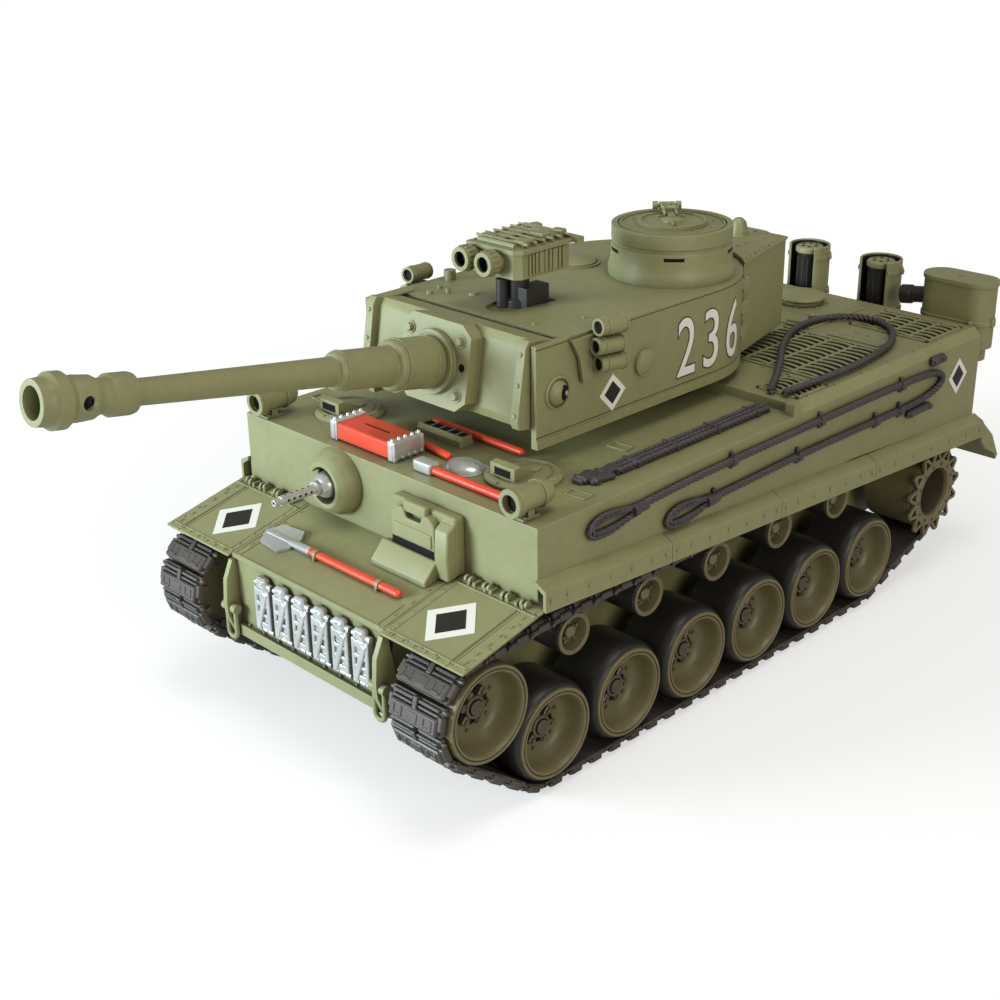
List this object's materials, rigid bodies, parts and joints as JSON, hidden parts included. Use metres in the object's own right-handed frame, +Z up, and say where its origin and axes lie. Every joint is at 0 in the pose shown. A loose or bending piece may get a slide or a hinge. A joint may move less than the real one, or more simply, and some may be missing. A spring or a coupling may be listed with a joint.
{
  "type": "rc tank",
  "caption": "Radio-controlled model heavy tank with traversing turret, elevating gun, hinged cupola hatch, swivelling sight and wheeled track running gear.",
  "frame": {"origin": "the middle of the whole model's box, on the ground under the tracks", "axes": "+Z up, -Y towards the tank's front and gun muzzle, +X towards the tank's left side"},
  "size_m": [0.171, 0.4324, 0.1764],
  "materials": {
    "olive_plastic": "matte moulded",
    "wheel_plastic": "matte moulded",
    "track_rubber": "matte",
    "silver_plastic": "vacuum plated",
    "red_plastic": "satin painted",
    "dark_plastic": "matte",
    "steel": "bright",
    "cell_wrap": "shrink wrap",
    "gear_plastic": "matte",
    "board": "solder mask"
  },
  "bodies": {
    "hull": {"lower_hull": "olive_plastic", "upper_hull": "olive_plastic", "glacis_plate": "olive_plastic", "front_fenders": "olive_plastic", "side_skirts": "olive_plastic", "spare_track_links": "silver_plastic", "driver_visor": "olive_plastic", "mg_ball_mount": "olive_plastic", "roof_fittings": "olive_plastic", "jack_block": "red_plastic", "tool_heads": "silver_plastic", "tool_handles": "red_plastic", "tow_cables": "dark_plastic", "engine_deck": "olive_plastic", "exhausts": "olive_plastic", "air_filters": "olive_plastic", "track_left": "track_rubber", "track_right": "track_rubber", "battery_cover": "olive_plastic", "battery_pack": "cell_wrap", "gearboxes": "gear_plastic", "circuit_board": "board", "axles": "steel", "screws": "steel"},
    "turret": {"turret_shell": "olive_plastic", "turret_ring": "dark_plastic", "turret_bin": "olive_plastic", "smoke_launchers": "olive_plastic", "commander_cupola": "olive_plastic", "sight_post": "dark_plastic"},
    "gun": {"mantlet": "olive_plastic", "gun_barrel": "olive_plastic", "muzzle_brake": "olive_plastic"},
    "cupola_lid": {"cupola_hatch": "olive_plastic"},
    "sight": {"sight_head": "olive_plastic"},
    "machine_gun": {"hull_mg": "silver_plastic"},
    "shackle_l": {"shackle_left": "olive_plastic"},
    "shackle_r": {"shackle_right": "olive_plastic"},
    "switch": {"power_switch": "dark_plastic"},
    "road_wheel_left_1_body": {"road_wheel_left_1": "wheel_plastic"},
    "road_wheel_left_2_body": {"road_wheel_left_2": "wheel_plastic"},
    "road_wheel_left_3_body": {"road_wheel_left_3": "wheel_plastic"},
    "road_wheel_left_4_body": {"road_wheel_left_4": "wheel_plastic"},
    "road_wheel_left_5_body": {"road_wheel_left_5": "wheel_plastic"},
    "road_wheel_left_6_body": {"road_wheel_left_6": "wheel_plastic"},
    "road_wheel_right_1_body": {"road_wheel_right_1": "wheel_plastic"},
    "road_wheel_right_2_body": {"road_wheel_right_2": "wheel_plastic"},
    "road_wheel_right_3_body": {"road_wheel_right_3": "wheel_plastic"},
    "road_wheel_right_4_body": {"road_wheel_right_4": "wheel_plastic"},
    "road_wheel_right_5_body": {"road_wheel_right_5": "wheel_plastic"},
    "road_wheel_right_6_body": {"road_wheel_right_6": "wheel_plastic"},
    "idler_wheel_left_body": {"idler_wheel_left": "wheel_plastic"},
    "idler_wheel_right_body": {"idler_wheel_right": "wheel_plastic"},
    "sprocket_left_body": {"sprocket_left": "wheel_plastic"},
    "sprocket_right_body": {"sprocket_right": "wheel_plastic"},
    "return_rollers_1_body": {"return_rollers_1": "wheel_plastic"},
    "return_rollers_2_body": {"return_rollers_2": "wheel_plastic"},
    "return_rollers_3_body": {"return_rollers_3": "wheel_plastic"},
    "return_rollers_4_body": {"return_rollers_4": "wheel_plastic"},
    "return_rollers_5_body": {"return_rollers_5": "wheel_plastic"}
  },
  "joints": [
    {"name": "turret_traverse", "type": "hinge", "parent": "hull", "child": "turret", "pos_m": [0, 0.0462, 0.106], "axis": [0, 0, 1], "range_deg": [-145, 145]},
    {"name": "gun_elevation", "type": "hinge", "parent": "turret", "child": "gun", "pos_m": [0, -0.0238, 0.131], "axis": [-1, 0, 0], "range_deg": [-13.3, 5]},
    {"name": "hatch_hinge", "type": "hinge", "parent": "turret", "child": "cupola_lid", "pos_m": [-0.00047, 0.07317, 0.171], "axis": [-0.7071, -0.7071, 0], "range_deg": [0, 105]},
    {"name": "sight_swivel", "type": "hinge", "parent": "turret", "child": "sight", "pos_m": [0.002, -0.0158, 0.165], "axis": [0, 0, 1], "range_deg": [-45, 45]},
    {"name": "mg_swing", "type": "hinge", "parent": "hull", "child": "machine_gun", "pos_m": [-0.0233, -0.0913, 0.0915], "axis": [0, 0, 1], "range_deg": [-18, 18]},
    {"name": "shackle_swing_left", "type": "hinge", "parent": "hull", "child": "shackle_l", "pos_m": [0.0429, -0.1254, 0.046], "axis": [-1, 0, 0], "range_deg": [0, 95]},
    {"name": "shackle_swing_right", "type": "hinge", "parent": "hull", "child": "shackle_r", "pos_m": [-0.0429, -0.1254, 0.046], "axis": [-1, 0, 0], "range_deg": [0, 95]},
    {"name": "switch_slide", "type": "slide", "parent": "hull", "child": "switch", "axis": [1, 0, 0], "range_m": [0, 0.0036]},
    {"name": "sprocket_left_spin", "type": "hinge", "parent": "hull", "child": "sprocket_left_body", "pos_m": [0.07, 0.1632, 0.04], "axis": [1, 0, 0], "continuous": true},
    {"name": "idler_wheel_left_spin", "type": "hinge", "parent": "hull", "child": "idler_wheel_left_body", "pos_m": [0.07, -0.1108, 0.0455], "axis": [1, 0, 0], "continuous": true},
    {"name": "road_wheel_left_1_spin", "type": "hinge", "parent": "hull", "child": "road_wheel_left_1_body", "pos_m": [0.07, -0.0793, 0.024], "axis": [1, 0, 0], "continuous": true},
    {"name": "road_wheel_left_2_spin", "type": "hinge", "parent": "hull", "child": "road_wheel_left_2_body", "pos_m": [0.07, -0.0405, 0.024], "axis": [1, 0, 0], "continuous": true},
    {"name": "road_wheel_left_3_spin", "type": "hinge", "parent": "hull", "child": "road_wheel_left_3_body", "pos_m": [0.07, -0.0017, 0.024], "axis": [1, 0, 0], "continuous": true},
    {"name": "road_wheel_left_4_spin", "type": "hinge", "parent": "hull", "child": "road_wheel_left_4_body", "pos_m": [0.07, 0.0371, 0.024], "axis": [1, 0, 0], "continuous": true},
    {"name": "road_wheel_left_5_spin", "type": "hinge", "parent": "hull", "child": "road_wheel_left_5_body", "pos_m": [0.07, 0.0759, 0.024], "axis": [1, 0, 0], "continuous": true},
    {"name": "road_wheel_left_6_spin", "type": "hinge", "parent": "hull", "child": "road_wheel_left_6_body", "pos_m": [0.07, 0.1147, 0.024], "axis": [1, 0, 0], "continuous": true},
    {"name": "sprocket_right_spin", "type": "hinge", "parent": "hull", "child": "sprocket_right_body", "pos_m": [-0.07, 0.1632, 0.04], "axis": [1, 0, 0], "continuous": true},
    {"name": "idler_wheel_right_spin", "type": "hinge", "parent": "hull", "child": "idler_wheel_right_body", "pos_m": [-0.07, -0.1108, 0.0455], "axis": [1, 0, 0], "continuous": true},
    {"name": "road_wheel_right_1_spin", "type": "hinge", "parent": "hull", "child": "road_wheel_right_1_body", "pos_m": [-0.07, -0.0793, 0.024], "axis": [1, 0, 0], "continuous": true},
    {"name": "road_wheel_right_2_spin", "type": "hinge", "parent": "hull", "child": "road_wheel_right_2_body", "pos_m": [-0.07, -0.0405, 0.024], "axis": [1, 0, 0], "continuous": true},
    {"name": "road_wheel_right_3_spin", "type": "hinge", "parent": "hull", "child": "road_wheel_right_3_body", "pos_m": [-0.07, -0.0017, 0.024], "axis": [1, 0, 0], "continuous": true},
    {"name": "road_wheel_right_4_spin", "type": "hinge", "parent": "hull", "child": "road_wheel_right_4_body", "pos_m": [-0.07, 0.0371, 0.024], "axis": [1, 0, 0], "continuous": true},
    {"name": "road_wheel_right_5_spin", "type": "hinge", "parent": "hull", "child": "road_wheel_right_5_body", "pos_m": [-0.07, 0.0759, 0.024], "axis": [1, 0, 0], "continuous": true},
    {"name": "road_wheel_right_6_spin", "type": "hinge", "parent": "hull", "child": "road_wheel_right_6_body", "pos_m": [-0.07, 0.1147, 0.024], "axis": [1, 0, 0], "continuous": true},
    {"name": "return_rollers_1_spin", "type": "hinge", "parent": "hull", "child": "return_rollers_1_body", "pos_m": [0, -0.0668, 0.0575], "axis": [1, 0, 0], "continuous": true},
    {"name": "return_rollers_2_spin", "type": "hinge", "parent": "hull", "child": "return_rollers_2_body", "pos_m": [0, -0.0271, 0.0575], "axis": [1, 0, 0], "continuous": true},
    {"name": "return_rollers_3_spin", "type": "hinge", "parent": "hull", "child": "return_rollers_3_body", "pos_m": [0, 0.0126, 0.0575], "axis": [1, 0, 0], "continuous": true},
    {"name": "return_rollers_4_spin", "type": "hinge", "parent": "hull", "child": "return_rollers_4_body", "pos_m": [0, 0.0523, 0.0575], "axis": [1, 0, 0], "continuous": true},
    {"name": "return_rollers_5_spin", "type": "hinge", "parent": "hull", "child": "return_rollers_5_body", "pos_m": [0, 0.092, 0.0575], "axis": [1, 0, 0], "continuous": true}
  ],
  "couplings": [
    {"joint": "idler_wheel_left_spin", "follows": "sprocket_left_spin", "ratio": 0.9581},
    {"joint": "road_wheel_left_1_spin", "follows": "sprocket_left_spin", "ratio": 0.8927},
    {"joint": "road_wheel_left_2_spin", "follows": "sprocket_left_spin", "ratio": 0.8927},
    {"joint": "road_wheel_left_3_spin", "follows": "sprocket_left_spin", "ratio": 0.8927},
    {"joint": "road_wheel_left_4_spin", "follows": "sprocket_left_spin", "ratio": 0.8927},
    {"joint": "road_wheel_left_5_spin", "follows": "sprocket_left_spin", "ratio": 0.8927},
    {"joint": "road_wheel_left_6_spin", "follows": "sprocket_left_spin", "ratio": 0.8927},
    {"joint": "idler_wheel_right_spin", "follows": "sprocket_right_spin", "ratio": 0.9581},
    {"joint": "road_wheel_right_1_spin", "follows": "sprocket_right_spin", "ratio": 0.8927},
    {"joint": "road_wheel_right_2_spin", "follows": "sprocket_right_spin", "ratio": 0.8927},
    {"joint": "road_wheel_right_3_spin", "follows": "sprocket_right_spin", "ratio": 0.8927},
    {"joint": "road_wheel_right_4_spin", "follows": "sprocket_right_spin", "ratio": 0.8927},
    {"joint": "road_wheel_right_5_spin", "follows": "sprocket_right_spin", "ratio": 0.8927},
    {"joint": "road_wheel_right_6_spin", "follows": "sprocket_right_spin", "ratio": 0.8927}
  ]
}
